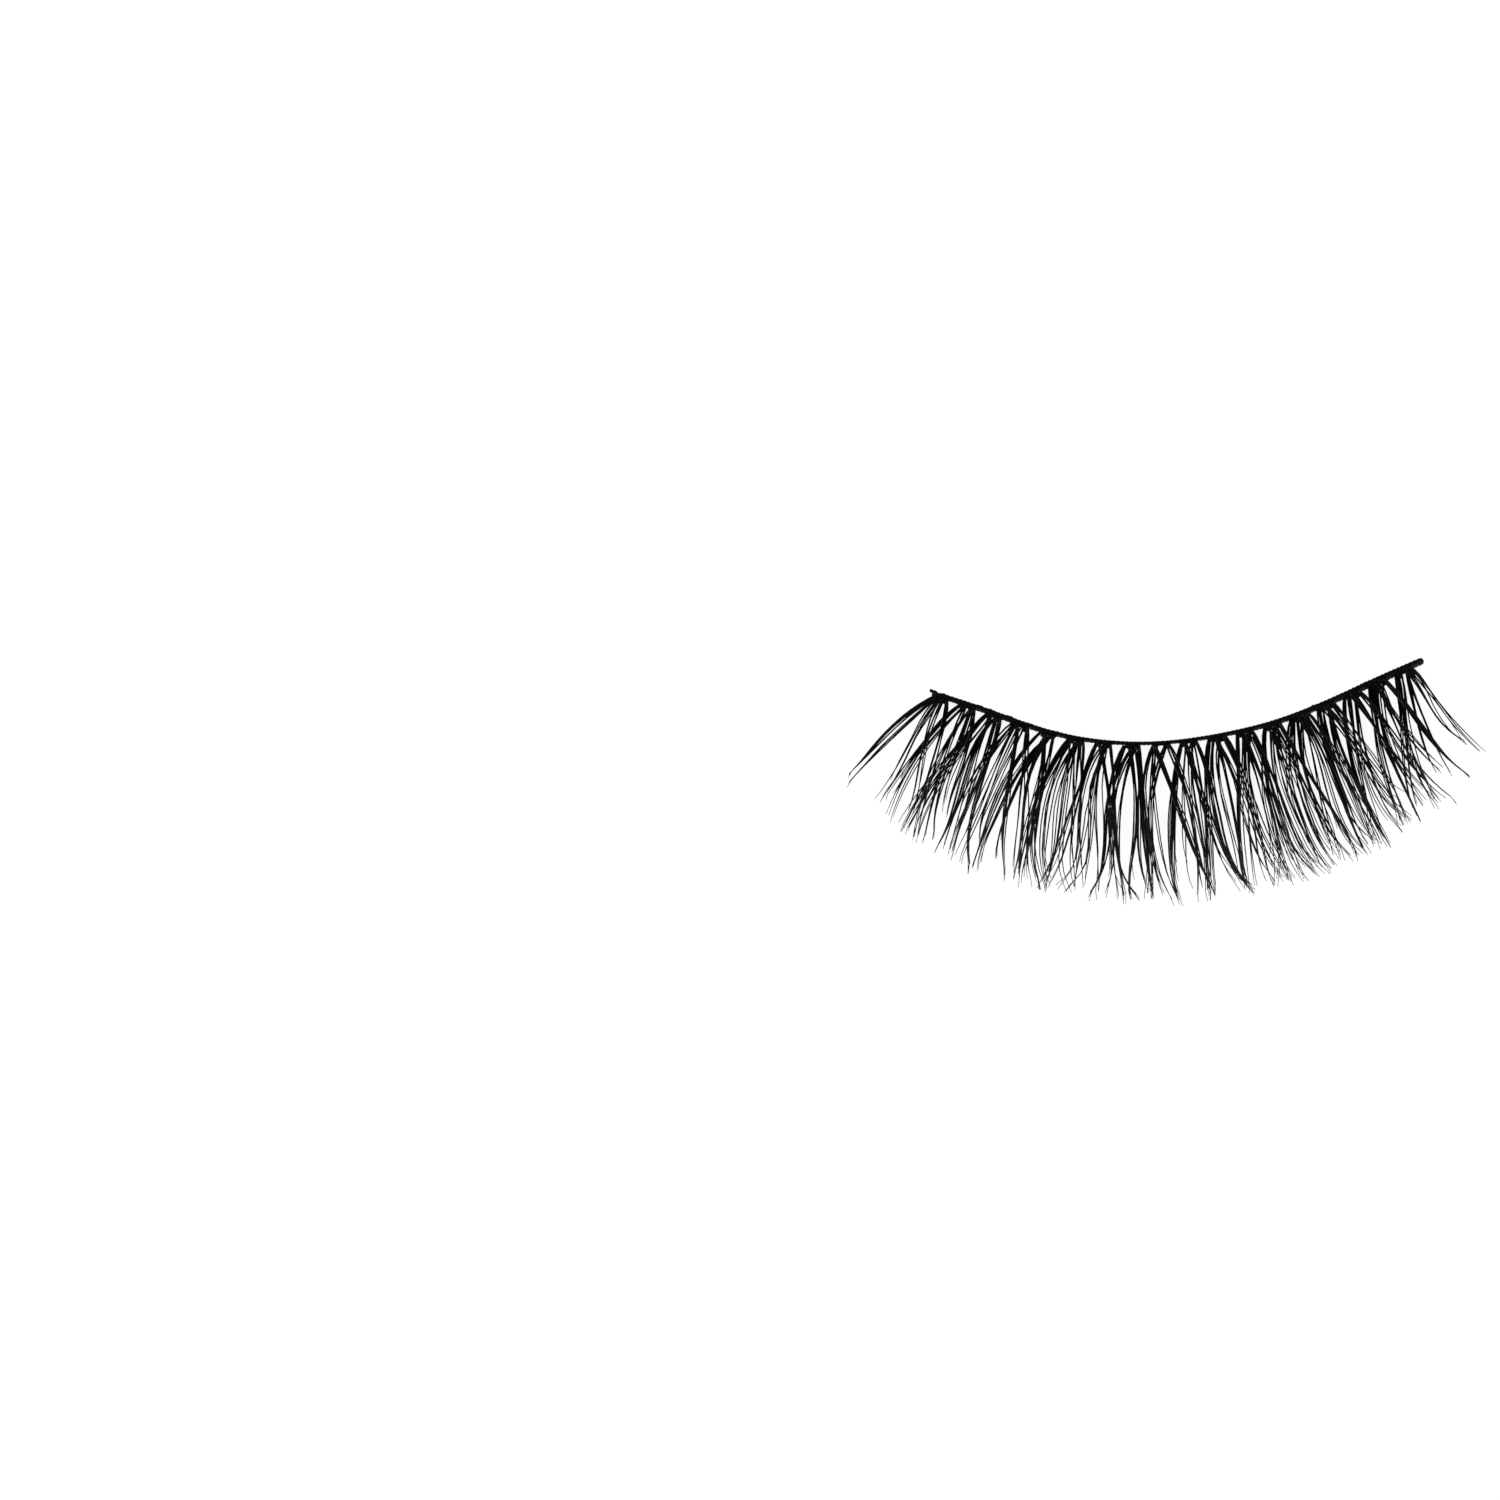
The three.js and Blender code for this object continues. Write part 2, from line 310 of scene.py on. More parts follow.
band = {
    "strandHeights": (-0.125, 0, 0.125),  # mm from the band's middle height
    "plyRadius": 0.067,
    "plyOffset": 0.017,  # each ply from its strand's middle, little, as glue fills the grooves
    "plySides": 8,
    "twistLength": 0.55,  # mm for one turn of the plies
    "twistSteps": 8,
    "twistAhead": 1.1,  # radians by which each strand's twist is ahead of the one below
    "innerCuts": (0.5, 0.2, 0.0),  # how far each strand stops short of the inner tip
    "outerCuts": (0.1, 0.05, 0.16),
    "fray": 0.25,  # mm of thread that thins out at each cut
    "frayShare": 0.7,  # of its thickness is left at the cut itself
    "liftedEnd": (0.8, 0.06),  # the longest strand's inner end: length, how far it bends to the lid
    "liftedCurve": 1.3,  # how late that bend comes
    "spreading": 0.5,  # share of the extra width that the threads give by getting wider
    # Rows: place from the inner end, how far the lid's side stands out there, half its length
    "edgeBumps": [
        (0.62, -0.07, 0.1), (0.9, 0.04, 0.2), (3.3, 0.045, 0.16), (4, 0.035, 0.2), (5.3, 0.05, 0.2),
        (6.6, 0.02, 0.2), (8.4, 0.02, 0.3), (24.8, 0.04, 0.15), (28.3, 0.02, 0.2),
    ],
    "glueThickness": 0.165,
    "glueHeight": 0.42,
    "glueSides": 16,
    "glueCuts": 180,
    "glueOuterCut": 0.1,
    "glueSwell": 0.07,
    "glueWaves": 90,  # places along the band where the glue gets thicker or thinner
    "dropSize": (0.5, 0.36, 0.36),  # glue drop on the outer end
    "dropPlace": 0.27,
    "dropSlimming": 1.7,  # the spreading of the band widens the drop again by about as much
    "pathPoints": 161,
}


def lidCurve():
    path = bpy.data.curves.new("lidCurve", "CURVE")
    path.dimensions = "3D"
    path.twist_mode = "Z_UP"
    spline = path.splines.new("POLY")
    places = np.linspace(innerEnd, outerEnd, band["pathPoints"])
    spline.points.add(len(places) - 1)
    for point, place in zip(spline.points, planPoint(places, 0 * places)):
        point.co = (*place, bandHeight / 2, 1)
    curve = bpy.data.objects.new("lidCurve", path)
    bpy.context.scene.collection.objects.link(curve)
    return curve


def closeEnds(piece):
    onlyActive(piece)
    bpy.ops.object.mode_set(mode="EDIT")
    bpy.ops.mesh.select_all(action="SELECT")
    bpy.ops.mesh.fill_holes(sides=0)
    bpy.ops.mesh.select_all(action="SELECT")
    bpy.ops.mesh.normals_make_consistent(inside=False)
    bpy.ops.object.mode_set(mode="OBJECT")


def twistedPly(height, innerCut, outerCut, angle):
    deselectAll()
    bpy.ops.mesh.primitive_circle_add(
        vertices=band["plySides"], radius=band["plyRadius"], rotation=(0, math.pi / 2, 0),
        location=(0, band["plyOffset"] * math.cos(angle), band["plyOffset"] * math.sin(angle)))
    ply = settle(bpy.context.object)
    length = bandLine["length"] - innerCut - outerCut
    screw = ply.modifiers.new("twist", "SCREW")
    screw.axis = "X"
    screw.iterations = round(length / band["twistLength"])
    screw.screw_offset = length / screw.iterations
    screw.steps = screw.render_steps = band["twistSteps"]
    applyModifiers(ply)
    closeEnds(ply)
    points = pointsOf(ply.data)
    fromEnd = np.minimum(points[:, 0], length - points[:, 0]) / band["fray"]
    points[:, 1:] *= np.interp(fromEnd, (0, 1), (band["frayShare"], 1))[:, None]
    points[:, 0] += innerCut
    points[:, 2] += height
    if innerCut == 0:
        reach, bend = band["liftedEnd"]
        points[:, 1] += bend * np.clip(1 - points[:, 0] / reach, 0, 1) ** band["liftedCurve"]
    movePoints(ply.data, points)
    return ply


def glueCore():
    deselectAll()
    innerCut = band["innerCuts"][1]
    length = bandLine["length"] - innerCut - band["glueOuterCut"]
    bpy.ops.mesh.primitive_cylinder_add(
        vertices=band["glueSides"], radius=0.5, depth=length, rotation=(0, math.pi / 2, 0),
        location=(length / 2 + innerCut, 0, 0))
    core = bpy.context.object
    core.scale = (band["glueHeight"], band["glueThickness"], 1)
    settle(core)
    bpy.ops.object.mode_set(mode="EDIT")
    bpy.ops.mesh.select_mode(type="EDGE")
    bpy.ops.mesh.select_all(action="DESELECT")
    bpy.ops.object.mode_set(mode="OBJECT")
    for edge in core.data.edges:  # the long ones, from end to end
        a, b = (core.data.vertices[k].co.x for k in edge.vertices)
        edge.select = abs(a - b) > length / 2
    bpy.ops.object.mode_set(mode="EDIT")
    bpy.ops.mesh.subdivide(number_cuts=band["glueCuts"])
    bpy.ops.object.mode_set(mode="OBJECT")
    points = pointsOf(core.data)
    waves = dice.normal(0, 1, band["glueWaves"])  # glue stands unevenly along the thread
    wavePlaces = np.linspace(0, bandLine["length"], band["glueWaves"])
    points[:, 1] *= 1 + band["glueSwell"] * np.interp(points[:, 0], wavePlaces, waves)
    movePoints(core.data, points)
    return core


def glueDrop():
    deselectAll()
    bpy.ops.mesh.primitive_uv_sphere_add(
        segments=20, ring_count=12, radius=0.5, scale=band["dropSize"],
        location=(bandLine["length"] - band["dropPlace"], 0, 0))
    drop = settle(bpy.context.object)
    points = pointsOf(drop.data)
    points[:, 1] /= band["dropSlimming"]
    movePoints(drop.data, points)
    return drop


def makeBand():
    parts = [glueCore(), glueDrop()]
    for n, height in enumerate(band["strandHeights"]):
        for half in (0, math.pi):
            angle = n * band["twistAhead"] + half
            parts.append(twistedPly(height, band["innerCuts"][n], band["outerCuts"][n], angle))
    piece = joinPieces(parts, "bandThread")
    points = pointsOf(piece.data)
    strand = 2 * (band["plyRadius"] + band["plyOffset"])
    width, middle = bandWidthAt(points[:, 0] + innerEnd)
    flatten = 1 + band["spreading"] * (width / strand - 1)
    lean = (width - strand * flatten) / 2 / band["strandHeights"][2]  # the rest of the width
    points[:, 1] = points[:, 1] * flatten + points[:, 2] * lean
    onEdge = np.clip(points[:, 1] / (width / 2), 0, 1)
    for place, rise, reach in band["edgeBumps"]:
        points[:, 1] += rise * onEdge * np.exp(-((points[:, 0] - place) / reach) ** 2)
    points[:, 1] += middle
    movePoints(piece.data, points)
    path = lidCurve()
    follow = piece.modifiers.new("followLid", "CURVE")
    follow.object = path
    follow.deform_axis = "POS_X"
    applyModifiers(piece)
    bpy.data.objects.remove(path)
    finishPiece(piece, threadBlack, "band")


makeBand()
print("band threads laid")


# Root knots: a glued bar along the band and two knots, wound with thread

knots = {
    "barLength": 1.06,
    "barNear": -0.1,  # mm out from the line's middle
    "barFar": 0.21,
    "barHeight": 0.36,
    "barCore": (0.96, 0.8, 0.86),  # shares of that length, depth and height under the thread
    "barRounding": 0.08,
    "barCover": 0.13,  # the band's edge, out from the line, where it is narrowest
    "spacing": 0.62,
    "width": 0.34,
    "length": 0.28,
    "height": 0.38,
    "middle": 0.24,  # of a knot, out from the line
    "knotCore": 0.9,  # share of a knot's width and height under the thread
    "taper": 0.2,
    "windingThread": 0.028,  # its radius
    "barTurns": 8,
    "barTurnMargin": 0.05,  # mm from the bar's end to the middle of the last turn
    "barTurnTilt": 0.12,  # radians, to and fro
    "knotTurns": 3,
    "knotTurnPitch": 0.065,
    "knotTurnStart": -0.8,  # place of the first turn, in pitches from the knot's middle
    "knotTurnNarrowing": (0.012, 0.01),  # mm less width and height from turn to turn
    "knotTurnTilt": (0.2, 0.1),  # radians, from turn to turn and between the two knots
    "wideTuft": 9,  # the one tuft tied with its knots further apart
    "wideShare": 1.2,
    "turned": 1.5,  # degrees, how unevenly the tufts are tied on
    "stretched": (0.94, 1.06),
    "deepened": (0.94, 1.04),
}


def knotBody(across):
    deselectAll()
    bpy.ops.mesh.primitive_uv_sphere_add(
        segments=16, ring_count=10, radius=0.5, location=(across, -knots["middle"], bandHeight / 2),
        scale=(knots["width"] * knots["knotCore"], knots["length"],
               knots["height"] * knots["knotCore"]))
    body = settle(bpy.context.object)
    points = pointsOf(body.data)
    away = 0.5 - (points[:, 1] + knots["middle"]) / knots["length"]
    slimming = 1 - knots["taper"] * away  # slimmer where the lashes leave
    points[:, 0] = across + (points[:, 0] - across) * slimming
    movePoints(body.data, points)
    return body


def winding(location, turn, halfAcross, halfUp):
    deselectAll()
    bpy.ops.mesh.primitive_torus_add(
        major_segments=18, minor_segments=6, location=location, rotation=(math.pi / 2, 0, turn),
        major_radius=halfUp, minor_radius=knots["windingThread"])
    bpy.context.object.scale = (halfAcross / halfUp, 1, 1)
    return settle(bpy.context.object)


def knotMaster():
    middle = bandHeight / 2
    depth = knots["barFar"] - knots["barNear"]
    barMiddle = -(knots["barFar"] + knots["barNear"]) / 2
    lengthShare, depthShare, heightShare = knots["barCore"]
    deselectAll()
    bpy.ops.mesh.primitive_cube_add(
        size=1, location=(0, barMiddle, middle),
        scale=(knots["barLength"] * lengthShare, depth * depthShare, knots["barHeight"] * heightShare))
    bar = settle(bpy.context.object)
    bpy.ops.object.mode_set(mode="EDIT")
    bpy.ops.mesh.select_all(action="SELECT")
    bpy.ops.mesh.bevel(offset=knots["barRounding"], segments=3, affect="EDGES")
    bpy.ops.object.mode_set(mode="OBJECT")
    parts = [bar]
    thread = knots["windingThread"]
    wound = knots["barLength"] - 2 * knots["barTurnMargin"]
    for n in range(knots["barTurns"]):
        across = (n / (knots["barTurns"] - 1) - 0.5) * wound
        parts.append(winding((across, barMiddle, middle), math.pi / 2 + knots["barTurnTilt"] * (-1) ** n,
                             depth / 2 - thread, knots["barHeight"] / 2 - thread))
    lessWide, lessHigh = knots["knotTurnNarrowing"]
    turnTilt, sideTilt = knots["knotTurnTilt"]
    for side in (-1, 1):
        across = side * knots["spacing"] / 2
        parts.append(knotBody(across))
        for n in range(knots["knotTurns"]):
            away = knots["middle"] + (n + knots["knotTurnStart"]) * knots["knotTurnPitch"]
            parts.append(winding((across, -away, middle), turnTilt * (n - 1) + sideTilt * side,
                                 knots["width"] / 2 - thread - lessWide * n,
                                 knots["height"] / 2 - thread - lessHigh * n))
    return joinPieces(parts, "knotMaster")


# Lashes: tapered tubes, about 0.08 mm thick, gathered in locks

lashes = {
    "rootOut": 0.16,  # mm out from the band's line, where the lashes start
    "belly": 3.4,  # mm out, as far as they lie on the table
    "rise": 4.6,  # mm, of the lowest layer at the full reach
    "reach": 9.95,  # mm out
    "layers": 4,  # heights on the band at which a tuft's locks start
    "layerSpread": 0.04,  # mm more between two layers for each mm out
    "unevenHeight": (0.02, 0.015),  # share of a lash's height at the tip, and mm at the root
    "radius": 0.043,
    "thicknesses": (0.85, 1.08),  # from lash to lash
    "tipRadius": 0.018,
    "rootSwell": 0.74,  # share by which a lash is thicker at its root
    "swellReach": 3.2,  # mm
    "thinFrom": 0.68,  # share of a lash where it starts to thin out
    "thinCurve": 1.4,
    "rings": (0, 0.05, 0.12, 0.2, 0.29, 0.39, 0.49, 0.59, 0.69, 0.79, 0.87, 0.94, 1),  # shares of a lash
    "sides": 5,
    "fanRange": (0.1, 0.25),  # mm, half widths at the tip of a tight lock and of a loose one
    "rootHalfWidth": (0.11, 0.2),  # of a tight lock and of a loose one
    # Share of the short lashes, the drift and the hooks' difference that each of them has
    "scatter": (0.35, 1.0),
    # Rows: distance out from the band, share of its full width that a lock has there
    "waist": [(0.16, 0.55), (0.7, 1.0), (1.6, 0.95), (2.8, 0.66), (4.5, 0.92), (10, 1.0)],
    "pathOuts": (2, 5),  # mm out from the band, where the locks' rows give a lock's place
    "rootSpread": 1.15,  # a lock's root lies this many times as far aside as its row says
    "tipSpread": 0.75,  # and its tip is this many times as wide
    "bulge": (0.0, 0.07),  # how far a lock opens halfway, mm each side
    "spike": 0.1,  # mm of half width for each spike that the tips of a lock gather in
    "lengths": (0.96, 1.05),
    "shortShare": 0.15,  # of the lashes, which have these lengths instead
    "shortLengths": (0.78, 0.94),
    "unevenness": 0.3,  # of the lashes' places across a lock
    "pairing": 0.25,  # how far two neighbours cling to each other
    "crossing": 0.6,  # how far the lashes of a lock have changed places at the root
    "crossingReach": 0.45,  # share of a lock where they are back in their own places
    "wander": 0.07,  # mm, how far two neighbours bow aside together halfway
    "ownWander": 0.03,  # mm, and each on its own
    "drift": 0.05,  # mm, how far a lash strays by its tip
    "strayShare": 0.07,  # of the lashes, which stray this far instead
    "strayDrift": 0.4,
    "driftCurve": 1.5,
    "hook": (0.05, 0.4),  # mm, how far the tips of a lock hook aside
    "hookFrom": 0.76,  # share of a lash where its hook starts
    "hookDifference": 0.4,  # from lash to lash, as a share of the hook
    "hookOutward": 0.75,  # share of the locks that hook to the outer end
    "endTufts": 3,  # at each end, that hook less
    "endHook": 0.25,
    "ends": (0.5, 2.0),  # how far a lash's root and point stand past its end rings, in radii
}
# A list for each tuft, and in it a row for each lock: how far the lock lies along the band from
# its tuft's middle, at the root, at the two distances above and at the tip, then the tip's
# distance from the band, the number of lashes and half the width that they span at the tip.
locks = [
    [(-0.37, -1.9, -3.5, -4.1, 6.2, 6, 0.02), (-0.26, -1.4, -3.1, -4, 6.8, 3, 0.06),
     (-0.09, -0.7, -1.3, -2.1, 7.3, 4, 0.3), (0.13, -0.05, 0.18, 0.3, 7.6, 4, 0.25),
     (0.33, 0.64, 0.79, 1.06, 8.7, 4, 0.2)],
    [(-0.39, -1.48, -2.6, -3.3, 6.9, 7, 0.3), (-0.17, -1.13, -2.2, -2.8, 8.2, 4, 0.25),
     (0.17, -0.4, -0.9, -1.45, 8.3, 4, 0.2), (-0.09, -0.25, -0.25, -0.09, 8.75, 4, 0.1),
     (0.17, 0.14, 0.02, 0.56, 8.35, 3, 0.1), (0.35, 0.6, 0.6, 0.72, 6.8, 6, 0.25)],
    [(-0.39, -1.28, -2.36, -3.4, 8.5, 7, 0.3), (-0.3, -0.95, -1.9, -2.5, 8.8, 4, 0.2),
     (0.09, -0.48, -0.5, -0.82, 9.1, 6, 0.12), (-0.17, -0.3, -0.1, 0.3, 9.1, 4, 0.2),
     (0.13, 0.22, 0.25, 0.35, 8.6, 4, 0.15), (0.33, 0.55, 0.68, 1.45, 9.45, 7, 0.15)],
    [(-0.42, -1.09, -1.6, -1.95, 8.6, 6, 0.25), (-0.26, -0.52, -0.67, -1, 9.1, 4, 0.25),
     (0.13, -0.05, -0.3, -0.5, 8, 3, 0.2), (-0.17, 0.08, 0.52, 1.48, 9.3, 7, 0.15),
     (0.37, 0.8, 1.4, 1.8, 9, 4, 0.2)],
    [(-0.42, -1.27, -1.76, -2, 9.3, 6, 0.12), (0.17, -0.8, -1.5, -1.9, 9.2, 4, 0.15),
     (-0.09, -0.55, -0.94, -1.15, 8.2, 4, 0.1), (0.17, -0.32, -0.17, 0.1, 9, 4, 0.15),
     (-0.22, 0.12, 0.41, 1.25, 9.45, 7, 0.12), (0.33, 0.41, 0.33, 0.5, 9.4, 4, 0.25)],
    [(-0.43, -1.17, -1.44, -1.63, 9.2, 6, 0.2), (-0.26, -0.8, -1.05, -0.65, 9.3, 4, 0.3),
     (0.17, -0.55, -0.75, -0.5, 9, 3, 0.2), (0.09, -0.2, -0.13, -0.5, 9.5, 4, 0.15),
     (-0.17, 0.02, 0.25, 0.55, 9.3, 4, 0.3), (0.35, 0.52, 0.69, 1.3, 9.2, 6, 0.3)],
    [(-0.43, -0.94, -1.44, -1.98, 9.3, 6, 0.3), (0.09, -0.6, -0.65, -1.1, 9.2, 4, 0.3),
     (0.17, -0.2, -0.36, -0.98, 9.3, 4, 0.3), (0.09, -0.08, 0.14, 0, 9.4, 3, 0.2),
     (-0.26, 0.24, 0.72, 1.4, 9.5, 6, 0.2), (0.35, 0.65, 0.83, 1.8, 9.6, 6, 0.15)],
    [(-0.43, -1.03, -1.2, -1.78, 9.5, 7, 0.12), (0.09, -0.75, -1, -1.1, 9.3, 4, 0.15),
     (0.17, -0.38, -0.7, -0.48, 9.6, 3, 0.1), (-0.17, 0.1, 0.2, -0.4, 9.4, 6, 0.12),
     (0.17, 0.35, 0.33, 0.65, 9.2, 4, 0.15), (0.35, 0.5, 0.64, 0.83, 9.4, 7, 0.15)],
    [(-0.43, -1.07, -1.1, -1.1, 9.5, 6, 0.2), (-0.35, -0.6, -0.63, -0.05, 9.75, 4, 0.2),
     (0.26, -0.38, -0.73, -0.7, 9.4, 4, 0.15), (-0.35, 0.22, 0.93, 1.8, 9.5, 7, 0.12),
     (0.39, 0.98, 1.4, 1.56, 9.5, 6, 0.35)],
    [(-0.43, -1.05, -1.5, -1.75, 9.6, 8, 0.15), (-0.26, -0.75, -1.15, -1.35, 8.8, 4, 0.3),
     (0.17, -0.13, -0.2, -0.6, 9.7, 4, 0.2), (0.17, 0.25, 0.2, 0, 9.6, 3, 0.2),
     (-0.22, 0.04, 0.5, 1.15, 9.4, 6, 0.2), (0.37, 0.78, 0.93, 1.72, 9.75, 8, 0.12)],
    [(-0.43, -0.98, -1.38, -1.9, 9.5, 6, 0.2), (-0.17, -0.63, -0.78, -0.25, 9.3, 4, 0.15),
     (0.17, -0.3, -0.3, -0.4, 9, 3, 0.2), (-0.09, 0.04, 0.1, -0.05, 9.4, 4, 0.15),
     (-0.09, 0.45, 0.8, 1.6, 9.4, 4, 0.25), (0.39, 0.9, 1.25, 2.2, 9.5, 6, 0.3)],
    [(-0.43, -0.82, -1.36, -2, 9.3, 8, 0.1), (-0.17, -0.55, -1.1, -1.3, 9.7, 4, 0.3),
     (0.17, -0.3, -0.6, -0.9, 9.5, 4, 0.25), (-0.09, 0.05, 0.18, -0.1, 9.5, 4, 0.2),
     (0, 0.3, 0.55, 0.6, 9.6, 4, 0.3), (0.37, 0.73, 0.9, 1.4, 9.5, 7, 0.2)],
    [(-0.43, -1.07, -1.36, -1.2, 9.7, 7, 0.3), (-0.26, -0.75, -0.82, -0.5, 9.5, 4, 0.3),
     (0.17, -0.4, -0.6, -0.2, 9.6, 4, 0.3), (0.17, -0.12, -0.15, 0, 9.6, 3, 0.2),
     (-0.17, 0.06, 0.18, 0.56, 9.8, 4, 0.2), (0.09, 0.45, 0.8, 1.33, 9.45, 4, 0.1),
     (0.37, 0.72, 1.25, 2.1, 9.45, 6, 0.15)],
    [(-0.43, -1.2, -1.65, -1.4, 9.2, 7, 0.2), (-0.26, -0.8, -1.13, -1.1, 9, 4, 0.25),
     (0.17, -0.5, -0.75, -0.4, 9.4, 3, 0.15), (0.26, 0, -0.5, -0.85, 9, 3, 0.1),
     (-0.13, 0.2, 0.03, 0.33, 9.4, 4, 0.2), (0.17, 0.48, 0.56, 1.2, 9.3, 4, 0.2),
     (0.39, 0.85, 1.3, 1.65, 9.3, 6, 0.25)],
    [(-0.43, -0.94, -1.2, -1.4, 9.3, 7, 0.15), (-0.22, -0.67, -0.85, -1, 8.8, 4, 0.3),
     (0.17, -0.3, -0.42, -1, 9.3, 4, 0.15), (0.09, -0.13, -0.2, -0.2, 9.3, 4, 0.12),
     (-0.13, 0.35, 0.75, 1.4, 8.6, 6, 0.25), (0.37, 0.85, 1.3, 1.6, 8.8, 4, 0.25)],
    [(-0.43, -1.2, -1.78, -1.77, 9.5, 8, 0.12), (-0.17, -0.75, -1.4, -1.9, 8.5, 4, 0.3),
     (0.17, -0.4, -1.1, -1, 9, 4, 0.2), (0.09, 0.35, 0.45, 0.5, 9, 4, 0.1),
     (-0.13, 0.2, 0.7, 1.7, 8.3, 4, 0.3), (0.37, 1, 1.55, 2.8, 8.7, 6, 0.25)],
    [(-0.43, -1.03, -1.78, -2.15, 8.7, 8, 0.2), (-0.17, -0.7, -1.15, -1.25, 9.1, 6, 0.12),
     (0.17, -0.45, -0.85, -0.75, 8.4, 3, 0.2), (0.09, 0.02, 0.02, -0.05, 8.5, 4, 0.25),
     (-0.13, 0.15, 0.75, 1.3, 6.7, 4, 0.2), (0.37, 0.95, 1.62, 2.75, 7.7, 7, 0.15)],
    [(-0.43, -1, -2.1, -3, 8.1, 8, 0.2), (-0.26, -0.75, -1.55, -1.45, 8.6, 4, 0.3),
     (0.17, -0.2, -0.72, -0.85, 6.8, 4, 0.15), (0.17, -0.02, -0.1, 0, 7.1, 3, 0.1),
     (0.17, 0.65, 1.3, 1.75, 5.7, 3, 0.2), (0.39, 1.02, 1.85, 2.55, 6.8, 4, 0.2)],
]
tuftPitch = (bandLine["length"] - bandLine["innerTail"] - bandLine["outerTail"]) / (len(locks) - 1)


def heightAt(layer, along, out):  # the layers spread as they leave the band, then curl up
    pastEnd = np.maximum(np.maximum(innerEnd - along, along - outerEnd), 0)
    away = np.hypot(out, pastEnd)
    curl = np.maximum(away - lashes["belly"], 0) / (lashes["reach"] - lashes["belly"])
    pitch = bandHeight / lashes["layers"] + lashes["layerSpread"] * away
    return bandHeight / lashes["layers"] / 2 + lashes["rise"] * curl ** 2 + layer * pitch


def lashLine(place, lock, layer, offset, gathered, crossed, sway, bulge, hook):
    root, near, far, tip, reach, count, fan = lock
    outs = np.array([lashes["rootOut"], *lashes["pathOuts"], reach])
    path = np.polyfit(outs, [root * lashes["rootSpread"], near, far, tip], 3)
    scatter = np.interp(fan, lashes["fanRange"], lashes["scatter"])
    short = dice.random() < lashes["shortShare"] * scatter
    length = dice.uniform(*lashes["shortLengths" if short else "lengths"])
    share = np.array(lashes["rings"])
    along = share * length  # share of the lock's own length
    out = lashes["rootOut"] + along * (reach - lashes["rootOut"])
    halfWidth = np.interp(fan, lashes["fanRange"], lashes["rootHalfWidth"]) * (1 - along)
    halfWidth += fan * lashes["tipSpread"] * along  # from the root's to the tip's
    halfWidth += bulge * np.sin(math.pi * np.minimum(along, 1))
    halfWidth *= np.interp(out, *zip(*lashes["waist"]))
    stray = lashes["strayDrift"] if dice.random() < lashes["strayShare"] else lashes["drift"]
    nearRoot = np.clip(1 - along / lashes["crossingReach"], 0, 1)
    across = offset + (gathered - offset) * along ** 2
    across += (crossed - offset) * lashes["crossing"] * nearRoot
    aside = np.polyval(path, np.minimum(out, reach)) + across * halfWidth
    aside += (sway + dice.normal(0, lashes["ownWander"])) * np.sin(math.pi * share) ** 2
    aside += dice.normal(0, stray) * scatter * along ** lashes["driftCurve"]
    difference = lashes["hookDifference"]
    hooked = np.maximum(share - lashes["hookFrom"], 0) / (1 - lashes["hookFrom"])
    aside += hook * (1 + dice.uniform(-difference, difference) * scatter) * hooked ** 2
    atTip, atRoot = lashes["unevenHeight"]
    height = heightAt(layer, place + aside, out) * (1 + dice.normal(0, atTip) * share)
    height += dice.normal(0, atRoot)
    thinned = np.maximum(share - lashes["thinFrom"], 0) / (1 - lashes["thinFrom"])
    thin = thinned ** lashes["thinCurve"]
    swell = 1 + lashes["rootSwell"] * np.clip(1 - out / lashes["swellReach"], 0, 1)
    radii = lashes["radius"] * dice.uniform(*lashes["thicknesses"]) * swell * (1 - thin)
    radii += lashes["tipRadius"] * thin
    return np.column_stack([planPoint(place + aside, out), np.maximum(height, radii)]), radii


def lashTube(points, radii):  # rings round the line, closed at the root and pointed at the tip
    tangents = np.gradient(points, axis=0)
    tangents /= np.linalg.norm(tangents, axis=1)[:, None]
    sideways = np.cross(tangents, [0, 0, 1])
    sideways /= np.linalg.norm(sideways, axis=1)[:, None]
    upright = np.cross(tangents, sideways)
    sides = lashes["sides"]
    angles = np.arange(sides)[None, :, None] / sides * 2 * math.pi
    around = np.cos(angles) * sideways[:, None] + np.sin(angles) * upright[:, None]
    rings = points[:, None] + radii[:, None, None] * around
    rootEnd, tipEnd = lashes["ends"]
    ends = [points[0] - tangents[0] * radii[0] * rootEnd, points[-1] + tangents[-1] * radii[-1] * tipEnd]
    vertices = np.concatenate([rings.reshape(-1, 3), ends])
    root = len(points) * sides
    last = root - sides
    faces = []
    for k in range(sides):
        after = (k + 1) % sides
        faces.append((root, after, k))
        faces.append((last + k, last + after, root + 1))
        faces += [(j + k, j + after, j + sides + after, j + sides + k) for j in range(0, last, sides)]
    return vertices, faces


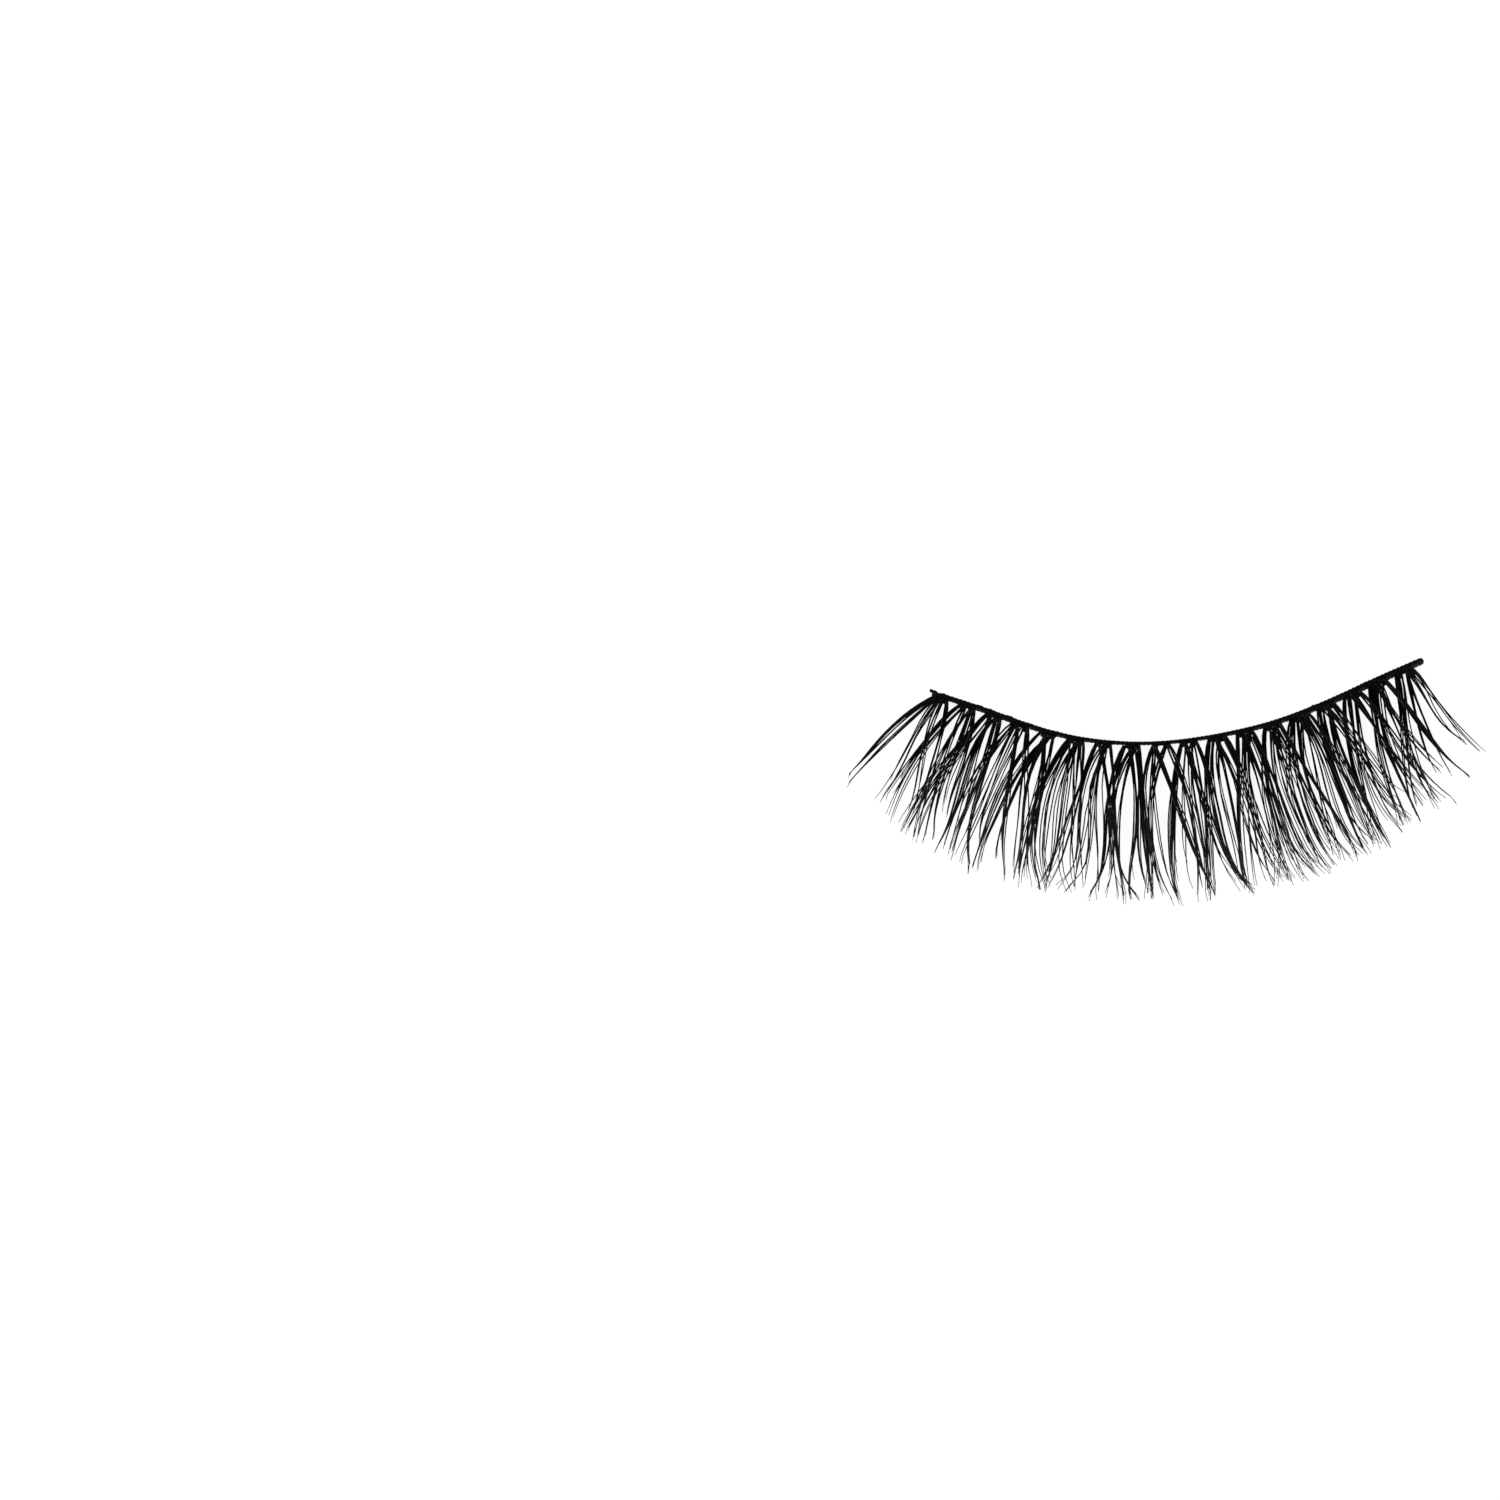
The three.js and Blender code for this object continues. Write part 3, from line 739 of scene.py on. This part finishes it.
def makeLashes(number, place):
    vertices, faces, shades = [], [], []
    start = 0
    tuft = locks[number - 1]
    inMiddle = lashes["endTufts"] < number <= len(locks) - lashes["endTufts"]
    for n, lock in enumerate(tuft):
        count, fan = lock[5:]
        layer = n / (len(tuft) - 1) * (lashes["layers"] - 1)
        bulge = dice.uniform(*lashes["bulge"])
        hook = dice.uniform(*lashes["hook"]) * (1 if dice.random() < lashes["hookOutward"] else -1)
        hook *= 1 if inMiddle else lashes["endHook"]
        offsets = np.linspace(-1, 1, count)  # places across the lock, from edge to edge
        spikes = int(np.clip(round(fan / lashes["spike"]), 1, count // 2))
        gathered = 0 * offsets
        if spikes > 1:
            gathered = np.round((offsets + 1) / 2 * (spikes - 1)) * 2 / (spikes - 1) - 1
        offsets += dice.normal(0, lashes["unevenness"], count)
        sways = np.repeat(dice.normal(0, lashes["wander"], count), 2)
        for k in range(0, count - 1, 2):  # neighbours cling in pairs
            offsets[k:k + 2] += lashes["pairing"] * (offsets[k:k + 2].mean() - offsets[k:k + 2])
        crossed = dice.permutation(offsets)
        for offset, end, cross, sway in zip(offsets, gathered, crossed, sways):
            line, radii = lashLine(place, lock, layer, offset, end, cross, sway, bulge, hook)
            tube, tubeFaces = lashTube(line, radii)
            vertices.append(tube)
            faces += [tuple(v + start for v in face) for face in tubeFaces]
            shades += [dice.random()] * len(tube)
            start += len(tube)
    mesh = bpy.data.meshes.new(f"lashes_{number:02d}")
    mesh.from_pydata(np.concatenate(vertices).tolist(), [], faces)
    shade = mesh.attributes.new("lashShade", "FLOAT", "POINT")
    shade.data.foreach_set("value", np.array(shades, np.float32))
    piece = bpy.data.objects.new(mesh.name, mesh)
    bpy.context.scene.collection.objects.link(piece)
    finishPiece(piece, fibreBlack, f"tuft_{number:02d}")


def makeKnots(number, place, pattern):
    piece = pattern.copy()
    piece.data = pattern.data.copy()
    piece.name = piece.data.name = f"knots_{number:02d}"
    bpy.context.scene.collection.objects.link(piece)
    wide = knots["wideShare"] if number == knots["wideTuft"] else 1
    width, middle = bandWidthAt(place)
    x, y = planPoint(place, width / 2 - middle - knots["barCover"])
    turn = float(headingAt(place)) + math.radians(dice.normal(0, knots["turned"]))
    wide *= dice.uniform(*knots["stretched"])
    deep = dice.uniform(*knots["deepened"])
    piece.data.transform(Matrix.Diagonal((wide, deep, 1, 1)))
    piece.data.transform(Matrix.Translation((x, y, 0)) @ Matrix.Rotation(turn, 4, "Z"))
    finishPiece(piece, threadBlack, f"tuft_{number:02d}")


master = knotMaster()
for number in range(1, len(locks) + 1):
    place = innerEnd + bandLine["innerTail"] + (number - 1) * tuftPitch
    makeLashes(number, place)
    makeKnots(number, place, master)
bpy.data.objects.remove(master)
print("tufts tied")


# Studio: a white light table, walls that darken to the ceiling, and four large soft lights

studio = {
    "floor": "#bdbdbd",
    "floorGlow": 0.9,  # the table is lit from below, so that no shadow shows
    "floorSide": 6000.0,
    "floorRoughness": 0.9,
    "floorSpecular": 0.1,
    "wall": 0.4,
    "ceiling": 0.02,
    "ceilingFrom": 0.7,  # height of a direction, 1 straight up, where the ceiling starts
    # Rows: place of the light in mm, its side in mm, its power in watts
    "lights": [
        ((-800, -600, 700), 600, 1.8), ((800, -600, 700), 600, 1.8),
        ((-700, 800, 700), 600, 1.8), ((700, 800, 700), 600, 1.8),
    ],
}


def makeFloor():
    deselectAll()
    bpy.ops.mesh.primitive_plane_add(size=studio["floorSide"] * mm)
    floor = bpy.context.object
    floor.name = "paleFloor"
    material, tree = newMaterial("opalLightTable")
    shader = addNode(tree, "ShaderNodeBsdfPrincipled",
                     {"Base Color": toLinear(studio["floor"]),
                      "Roughness": studio["floorRoughness"],
                      "Specular IOR Level": studio["floorSpecular"],
                      "Emission Color": (1, 1, 1, 1), "Emission Strength": studio["floorGlow"]}, {})
    addNode(tree, "ShaderNodeOutputMaterial", {}, {"Surface": shader.outputs["BSDF"]})
    floor.data.materials.append(material)


def makeSurround():
    world = bpy.data.worlds.new("whiteSurround")
    world.use_nodes = True
    tree = world.node_tree
    tree.nodes.clear()
    direction = addNode(tree, "ShaderNodeTexCoord", {}, {})
    parts = addNode(tree, "ShaderNodeSeparateXYZ", {}, {"Vector": direction.outputs["Generated"]})
    strength = addNode(tree, "ShaderNodeMapRange",
                       {"From Min": 0.0, "From Max": studio["ceilingFrom"],
                        "To Min": studio["wall"], "To Max": studio["ceiling"]},
                       {"Value": parts.outputs["Z"]})
    light = addNode(tree, "ShaderNodeBackground", {"Color": (1, 1, 1, 1)},
                    {"Strength": strength.outputs["Result"]})
    addNode(tree, "ShaderNodeOutputWorld", {}, {"Surface": light.outputs["Background"]})
    bpy.context.scene.world = world


def makeLights():
    for place, side, power in studio["lights"]:
        bpy.ops.object.light_add(type="AREA", location=[c * mm for c in place])
        light = bpy.context.object
        light.data.size = side * mm
        light.data.energy = power
        light.rotation_euler = light.location.to_track_quat("Z", "Y").to_euler()


makeFloor()
makeSurround()
makeLights()
bpy.context.scene.view_settings.view_transform = "Standard"
print("studio set")
